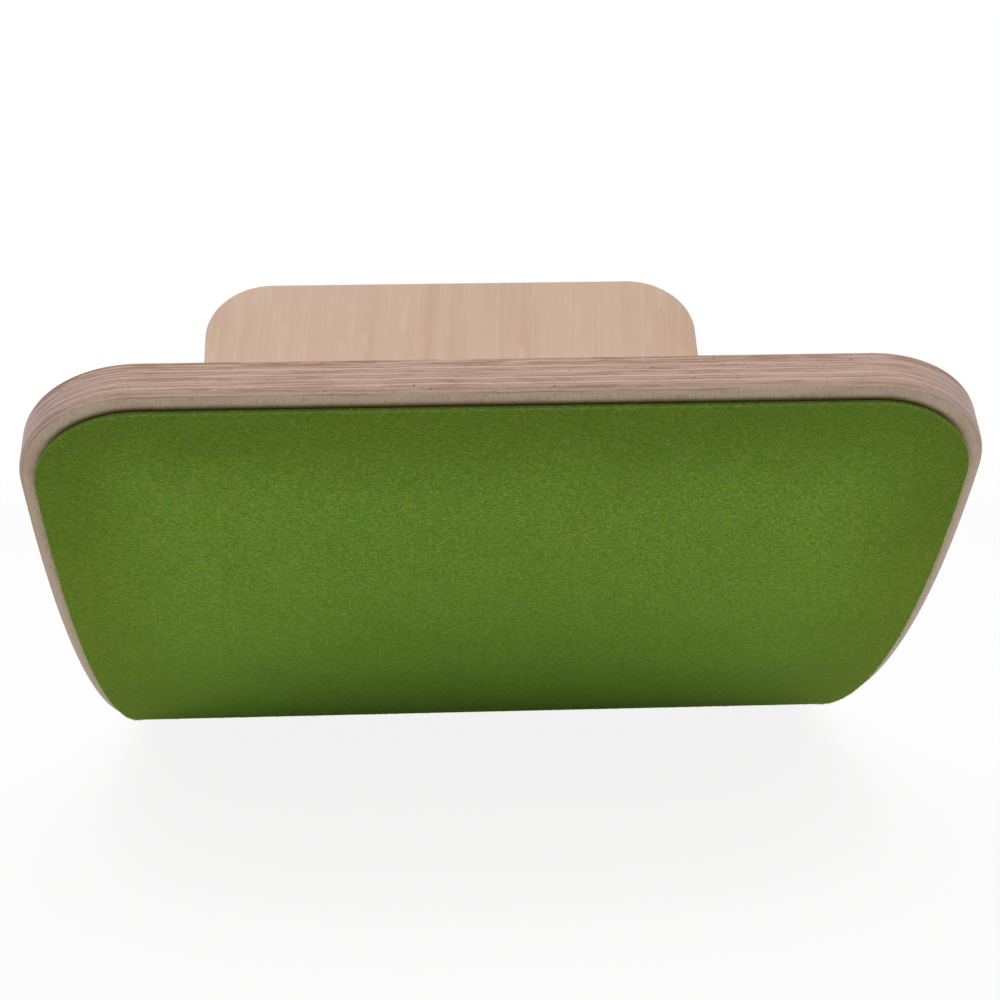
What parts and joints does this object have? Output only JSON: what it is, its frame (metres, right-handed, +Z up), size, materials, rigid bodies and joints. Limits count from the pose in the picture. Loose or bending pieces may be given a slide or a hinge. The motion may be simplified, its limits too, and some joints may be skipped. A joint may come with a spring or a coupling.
{
  "type": "curvy balance board",
  "caption": "Curved balance board of bent beech plywood with rounded corners and a green felt sole, to rock, sit, stand or slide on, or to turn over as an arch.",
  "frame": {"origin": "on the floor under the middle of the board, where the felt sole touches it", "axes": "+X across the board, +Y along it towards the far end of the picture, +Z up out of the seat"},
  "size_m": [0.3, 0.6738, 0.1785],
  "materials": {
    "beech_long_grain": "clear matt lacquer",
    "beech_cross_grain": "clear matt lacquer",
    "adhesive_film": "clear film",
    "green_felt": "pressed felt"
  },
  "bodies": {
    "root": {"outer_face_veneer": "beech_long_grain", "cross_veneer_1": "beech_cross_grain", "long_veneer_1": "beech_long_grain", "cross_veneer_2": "beech_cross_grain", "long_veneer_2": "beech_long_grain", "cross_veneer_3": "beech_cross_grain", "long_veneer_3": "beech_long_grain", "cross_veneer_4": "beech_cross_grain", "long_veneer_4": "beech_long_grain", "cross_veneer_5": "beech_cross_grain", "long_veneer_5": "beech_long_grain", "cross_veneer_6": "beech_cross_grain", "inner_face_veneer": "beech_long_grain", "felt_adhesive": "adhesive_film", "felt_sole": "green_felt"}
  },
  "joints": []
}
